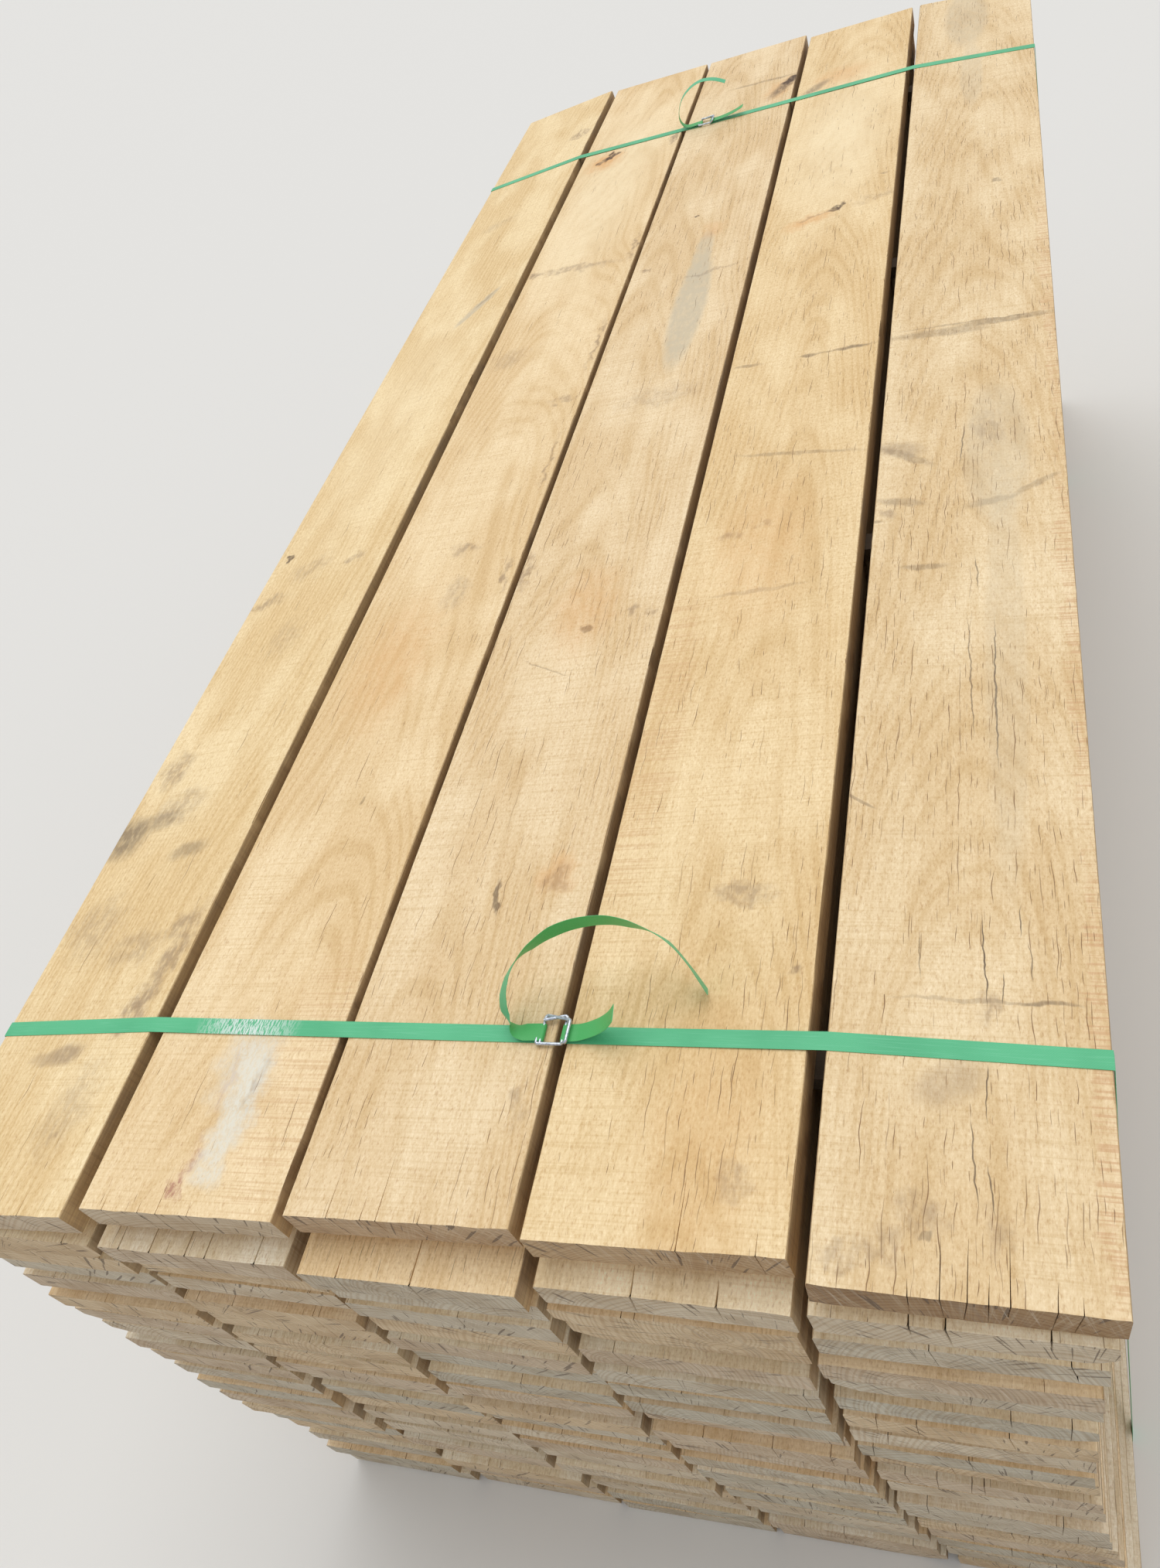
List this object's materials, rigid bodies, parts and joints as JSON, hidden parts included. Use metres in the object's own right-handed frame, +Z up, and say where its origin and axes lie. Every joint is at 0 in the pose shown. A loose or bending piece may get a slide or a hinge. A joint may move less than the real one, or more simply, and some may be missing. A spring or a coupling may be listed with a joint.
{
  "type": "stack of lumber",
  "caption": "Strapped pack of sawn hardwood boards in layers, with thin laths between the layers and plastic straps with wire buckles round the pack.",
  "frame": {"origin": "bottom centre of the strapped pack, on the underside of the straps", "axes": "+X across the pack to the right, +Y along the boards away from the near end, +Z up"},
  "size_m": [1.0762, 2.5008, 1.0035],
  "materials": {
    "sawn_board": "rough sawn, pale yellow-tan",
    "lath": "rough sawn, weathered",
    "strap": "embossed green plastic strapping, satin",
    "buckle_wire": "galvanised wire"
  },
  "bodies": {
    "root": {"layer_01": "sawn_board", "layer_02": "sawn_board", "layer_03": "sawn_board", "layer_04": "sawn_board", "layer_05": "sawn_board", "layer_06": "sawn_board", "layer_07": "sawn_board", "layer_08": "sawn_board", "layer_09": "sawn_board", "layer_10": "sawn_board", "layer_11": "sawn_board", "layer_12": "sawn_board", "layer_13": "sawn_board", "layer_14": "sawn_board", "layer_15": "sawn_board", "layer_16": "sawn_board", "layer_17": "sawn_board", "layer_18": "sawn_board", "layer_19": "sawn_board", "laths_near_end": "lath", "laths_near_middle": "lath", "laths_far_middle": "lath", "laths_far_end": "lath", "strap_near": "strap", "strap_far": "strap", "buckle_near": "buckle_wire", "buckle_far": "buckle_wire"}
  },
  "joints": []
}
